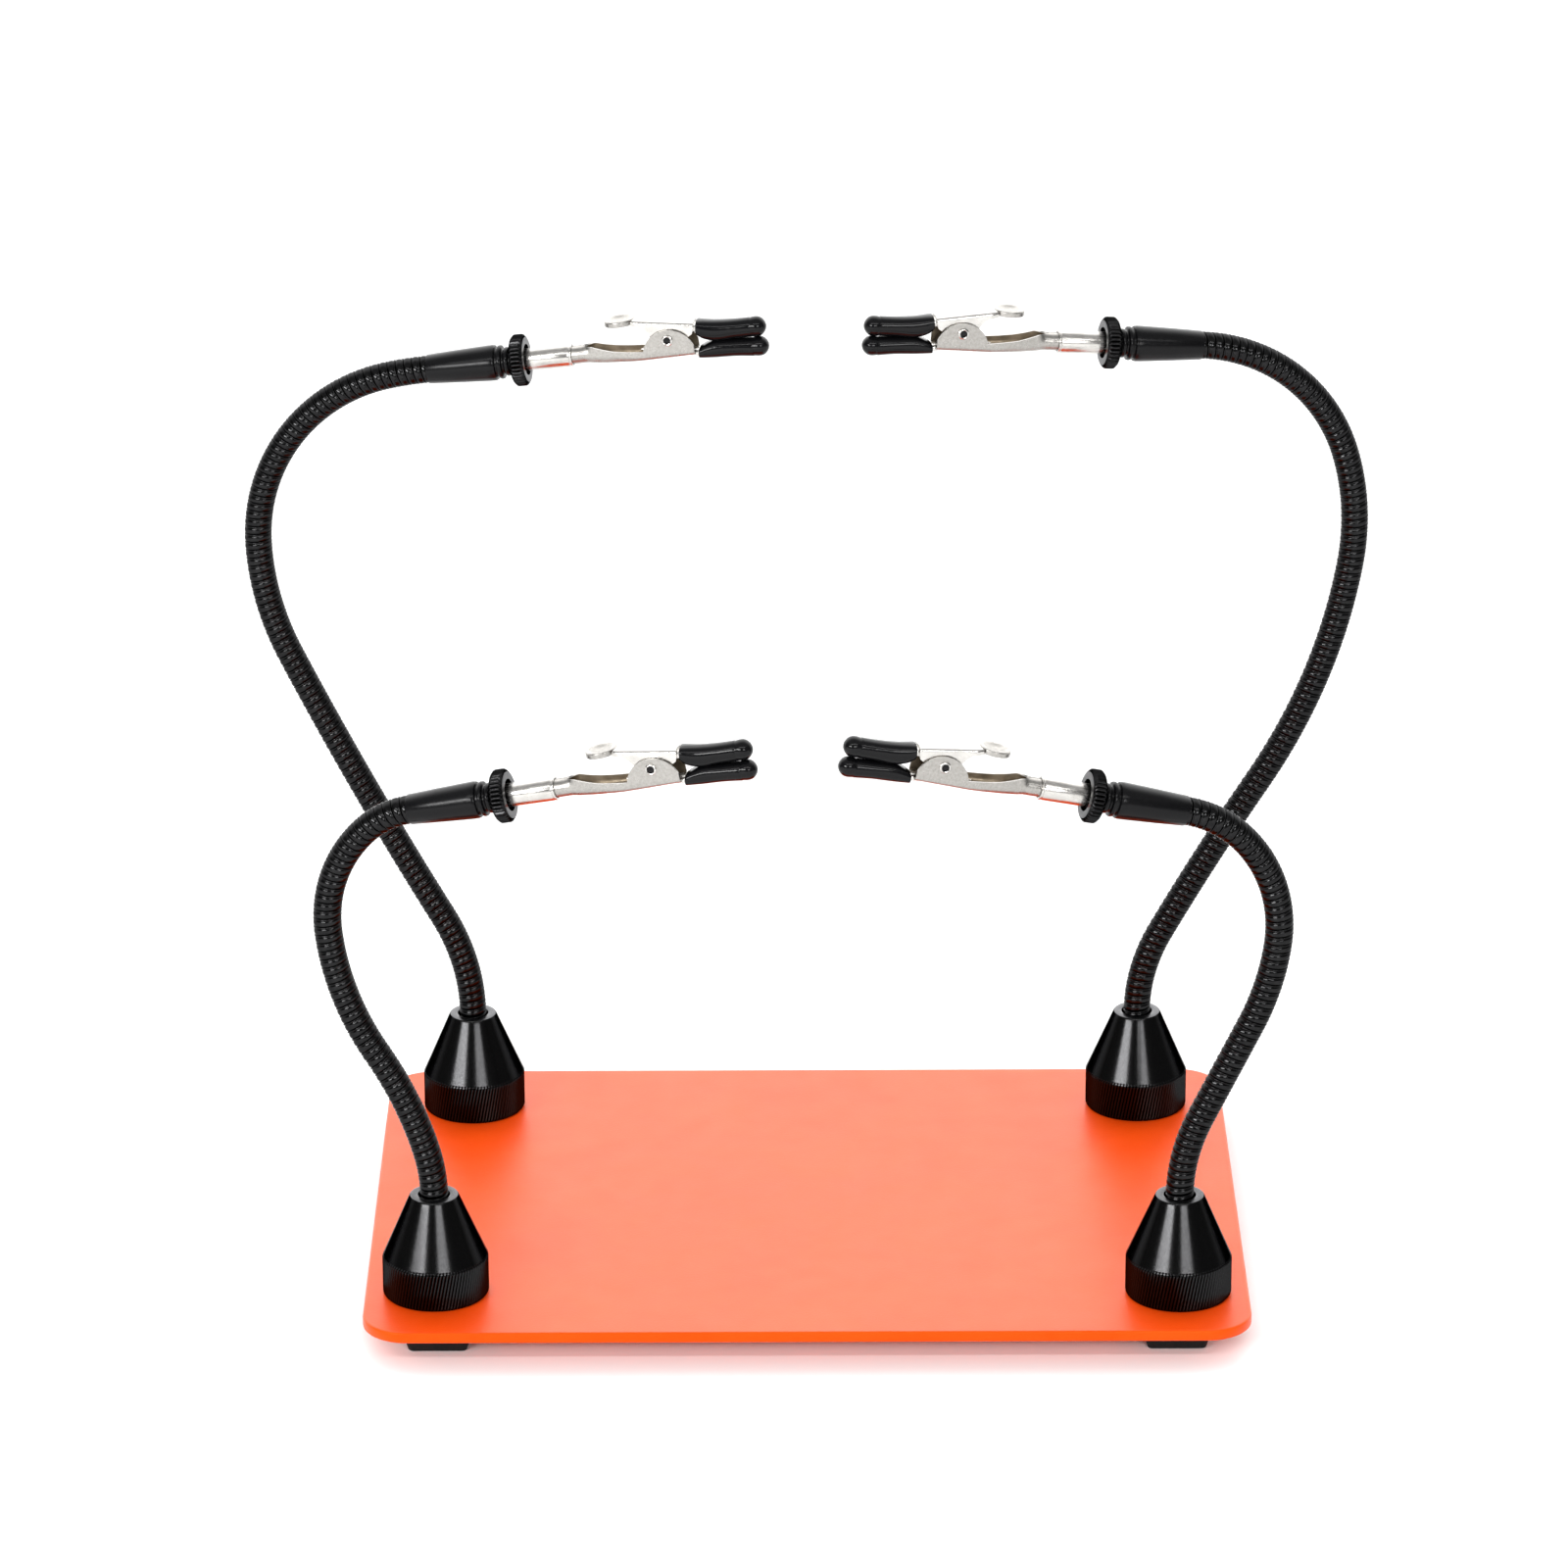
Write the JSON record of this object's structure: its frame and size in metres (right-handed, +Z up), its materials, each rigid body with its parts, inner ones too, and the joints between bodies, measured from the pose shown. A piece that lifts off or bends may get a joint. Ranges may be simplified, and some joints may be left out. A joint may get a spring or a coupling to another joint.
{
  "type": "helping hands clamp",
  "caption": "Soldering work station: an orange steel plate on rubber feet with magnetic cone bases, each holding a flexible gooseneck arm that ends in a swivelling alligator clip.",
  "frame": {"origin": "on the bench surface, under the centre of the plate", "axes": "+Z up from the bench; -Y towards the user, the side with the short arms; +X to the user's right"},
  "size_m": [0.3284, 0.185, 0.2625],
  "materials": {
    "orange_coat": "satin orange powder coat",
    "rubber": "matte moulded rubber",
    "magnet_nickel": "bright nickel plate",
    "black_metal": "satin black anodised, turned",
    "black_gooseneck": "gloss black coated spiral of interlocking turns",
    "black_sleeve": "satin black anodised",
    "nickel": "bright nickel plate on steel",
    "black_vinyl": "gloss black dipped vinyl"
  },
  "bodies": {
    "stand": {"plate": "orange_coat", "foot_front_left": "rubber", "foot_front_right": "rubber", "foot_back_left": "rubber", "foot_back_right": "rubber"},
    "front_left_magnet": {"front_left_magnet": "magnet_nickel"},
    "front_left_base": {"front_left_base": "black_metal", "front_left_neck_root": "black_gooseneck"},
    "front_left_upper_arm": {"front_left_neck_upper": "black_gooseneck"},
    "front_left_end": {"front_left_ferrule": "black_sleeve"},
    "front_left_nut": {"front_left_nut": "black_metal"},
    "front_left_clip": {"front_left_socket": "nickel", "front_left_lower_jaw": "nickel", "front_left_rivet": "nickel", "front_left_spring": "nickel", "front_left_lower_boot": "black_vinyl"},
    "front_left_jaw": {"front_left_upper_jaw": "nickel", "front_left_upper_boot": "black_vinyl"},
    "front_right_magnet": {"front_right_magnet": "magnet_nickel"},
    "front_right_base": {"front_right_base": "black_metal", "front_right_neck_root": "black_gooseneck"},
    "front_right_upper_arm": {"front_right_neck_upper": "black_gooseneck"},
    "front_right_end": {"front_right_ferrule": "black_sleeve"},
    "front_right_nut": {"front_right_nut": "black_metal"},
    "front_right_clip": {"front_right_socket": "nickel", "front_right_lower_jaw": "nickel", "front_right_rivet": "nickel", "front_right_spring": "nickel", "front_right_lower_boot": "black_vinyl"},
    "front_right_jaw": {"front_right_upper_jaw": "nickel", "front_right_upper_boot": "black_vinyl"},
    "back_left_magnet": {"back_left_magnet": "magnet_nickel"},
    "back_left_base": {"back_left_base": "black_metal", "back_left_neck_root": "black_gooseneck"},
    "back_left_lower_arm": {"back_left_neck_middle": "black_gooseneck"},
    "back_left_upper_arm": {"back_left_neck_upper": "black_gooseneck"},
    "back_left_end": {"back_left_ferrule": "black_sleeve"},
    "back_left_nut": {"back_left_nut": "black_metal"},
    "back_left_clip": {"back_left_socket": "nickel", "back_left_lower_jaw": "nickel", "back_left_rivet": "nickel", "back_left_spring": "nickel", "back_left_lower_boot": "black_vinyl"},
    "back_left_jaw": {"back_left_upper_jaw": "nickel", "back_left_upper_boot": "black_vinyl"},
    "back_right_magnet": {"back_right_magnet": "magnet_nickel"},
    "back_right_base": {"back_right_base": "black_metal", "back_right_neck_root": "black_gooseneck"},
    "back_right_lower_arm": {"back_right_neck_middle": "black_gooseneck"},
    "back_right_upper_arm": {"back_right_neck_upper": "black_gooseneck"},
    "back_right_end": {"back_right_ferrule": "black_sleeve"},
    "back_right_nut": {"back_right_nut": "black_metal"},
    "back_right_clip": {"back_right_socket": "nickel", "back_right_lower_jaw": "nickel", "back_right_rivet": "nickel", "back_right_spring": "nickel", "back_right_lower_boot": "black_vinyl"},
    "back_right_jaw": {"back_right_upper_jaw": "nickel", "back_right_upper_boot": "black_vinyl"}
  },
  "joints": [
    {"name": "front_left_slide", "type": "slide", "parent": "stand", "child": "front_left_magnet", "axis": [0, 1, 0], "range_m": [0, 0.045]},
    {"name": "front_left_swivel", "type": "hinge", "parent": "front_left_magnet", "child": "front_left_base", "pos_m": [-0.105, -0.064, 0.0102], "axis": [0, 0, -1], "continuous": true},
    {"name": "front_left_bend", "type": "hinge", "parent": "front_left_base", "child": "front_left_upper_arm", "pos_m": [-0.11754, -0.06122, 0.0776], "axis": [0.2164, 0.9763, 0], "range_deg": [-15, 20]},
    {"name": "front_left_bend_end", "type": "hinge", "parent": "front_left_upper_arm", "child": "front_left_end", "pos_m": [-0.11341, -0.06214, 0.15479], "axis": [0.2164, 0.9763, 0], "range_deg": [-20, 25]},
    {"name": "front_left_nut_spin", "type": "hinge", "parent": "front_left_end", "child": "front_left_nut", "pos_m": [-0.08325, -0.06882, 0.16227], "axis": [0.9513, -0.2109, 0.225], "continuous": true},
    {"name": "front_left_clip_turn", "type": "hinge", "parent": "front_left_end", "child": "front_left_clip", "pos_m": [-0.08135, -0.06924, 0.16272], "axis": [0.9513, -0.2109, 0.225], "continuous": true},
    {"name": "front_left_jaw_open", "type": "hinge", "parent": "front_left_clip", "child": "front_left_jaw", "pos_m": [-0.04144, -0.07809, 0.17503], "axis": [-0.2164, -0.9763, 0], "range_deg": [0, 20], "stiffness_Nm_per_rad": 0.25, "springref_deg": -28.65, "deforming": ["front_left_spring"]},
    {"name": "front_right_slide", "type": "slide", "parent": "stand", "child": "front_right_magnet", "axis": [0, 1, 0], "range_m": [0, 0.045]},
    {"name": "front_right_swivel", "type": "hinge", "parent": "front_right_magnet", "child": "front_right_base", "pos_m": [0.105, -0.066, 0.0102], "axis": [0, 0, 1], "continuous": true},
    {"name": "front_right_bend", "type": "hinge", "parent": "front_right_base", "child": "front_right_upper_arm", "pos_m": [0.11775, -0.06329, 0.07748], "axis": [-0.2079, 0.9781, 0], "range_deg": [-20, 15]},
    {"name": "front_right_bend_end", "type": "hinge", "parent": "front_right_upper_arm", "child": "front_right_end", "pos_m": [0.10885, -0.06518, 0.15473], "axis": [-0.2079, 0.9781, 0], "range_deg": [-25, 20]},
    {"name": "front_right_nut_spin", "type": "hinge", "parent": "front_right_end", "child": "front_right_nut", "pos_m": [0.07875, -0.07158, 0.16269], "axis": [-0.9491, -0.2017, 0.2419], "continuous": true},
    {"name": "front_right_clip_turn", "type": "hinge", "parent": "front_right_end", "child": "front_right_clip", "pos_m": [0.07685, -0.07198, 0.16317], "axis": [-0.9491, -0.2017, 0.2419], "continuous": true},
    {"name": "front_right_jaw_open", "type": "hinge", "parent": "front_right_clip", "child": "front_right_jaw", "pos_m": [0.03708, -0.08044, 0.17619], "axis": [-0.2079, 0.9781, 0], "range_deg": [0, 20], "stiffness_Nm_per_rad": 0.25, "springref_deg": -28.65, "deforming": ["front_right_spring"]},
    {"name": "back_left_slide", "type": "slide", "parent": "stand", "child": "back_left_magnet", "axis": [0, -1, 0], "range_m": [0, 0.045]},
    {"name": "back_left_swivel", "type": "hinge", "parent": "back_left_magnet", "child": "back_left_base", "pos_m": [-0.099, 0.067, 0.0102], "axis": [0, 0, 1], "continuous": true},
    {"name": "back_left_bend_low", "type": "hinge", "parent": "back_left_base", "child": "back_left_lower_arm", "pos_m": [-0.11387, 0.06949, 0.08184], "axis": [0.165, 0.9863, 0], "range_deg": [-10, 20]},
    {"name": "back_left_bend_high", "type": "hinge", "parent": "back_left_lower_arm", "child": "back_left_upper_arm", "pos_m": [-0.15776, 0.07683, 0.17108], "axis": [0.165, 0.9863, 0], "range_deg": [-15, 25]},
    {"name": "back_left_bend_end", "type": "hinge", "parent": "back_left_upper_arm", "child": "back_left_end", "pos_m": [-0.11242, 0.06925, 0.24039], "axis": [0.165, 0.9863, 0], "range_deg": [-20, 25]},
    {"name": "back_left_nut_spin", "type": "hinge", "parent": "back_left_end", "child": "back_left_nut", "pos_m": [-0.08141, 0.06406, 0.24517], "axis": [0.9755, -0.1632, 0.1478], "continuous": true},
    {"name": "back_left_clip_turn", "type": "hinge", "parent": "back_left_end", "child": "back_left_clip", "pos_m": [-0.07946, 0.06373, 0.24546], "axis": [0.9755, -0.1632, 0.1478], "continuous": true},
    {"name": "back_left_jaw_open", "type": "hinge", "parent": "back_left_clip", "child": "back_left_jaw", "pos_m": [-0.03831, 0.05684, 0.25453], "axis": [-0.165, -0.9863, 0], "range_deg": [0, 20], "stiffness_Nm_per_rad": 0.25, "springref_deg": -28.65, "deforming": ["back_left_spring"]},
    {"name": "back_right_slide", "type": "slide", "parent": "stand", "child": "back_right_magnet", "axis": [0, -1, 0], "range_m": [0, 0.045]},
    {"name": "back_right_swivel", "type": "hinge", "parent": "back_right_magnet", "child": "back_right_base", "pos_m": [0.099, 0.067, 0.0102], "axis": [0, 0, -1], "continuous": true},
    {"name": "back_right_bend_low", "type": "hinge", "parent": "back_right_base", "child": "back_right_lower_arm", "pos_m": [0.11524, 0.07045, 0.08124], "axis": [-0.2079, 0.9781, 0], "range_deg": [-20, 10]},
    {"name": "back_right_bend_high", "type": "hinge", "parent": "back_right_lower_arm", "child": "back_right_upper_arm", "pos_m": [0.15897, 0.07975, 0.16984], "axis": [-0.2079, 0.9781, 0], "range_deg": [-25, 15]},
    {"name": "back_right_bend_end", "type": "hinge", "parent": "back_right_upper_arm", "child": "back_right_end", "pos_m": [0.11898, 0.07125, 0.24636], "axis": [-0.2079, 0.9781, 0], "range_deg": [-25, 20]},
    {"name": "back_right_nut_spin", "type": "hinge", "parent": "back_right_end", "child": "back_right_nut", "pos_m": [0.08804, 0.06467, 0.24959], "axis": [-0.9736, -0.207, 0.0958], "continuous": true},
    {"name": "back_right_clip_turn", "type": "hinge", "parent": "back_right_end", "child": "back_right_clip", "pos_m": [0.0861, 0.06426, 0.24978], "axis": [-0.9736, -0.207, 0.0958], "continuous": true},
    {"name": "back_right_jaw_open", "type": "hinge", "parent": "back_right_clip", "child": "back_right_jaw", "pos_m": [0.04488, 0.0555, 0.25665], "axis": [-0.2079, 0.9781, 0], "range_deg": [0, 20], "stiffness_Nm_per_rad": 0.25, "springref_deg": -28.65, "deforming": ["back_right_spring"]}
  ]
}
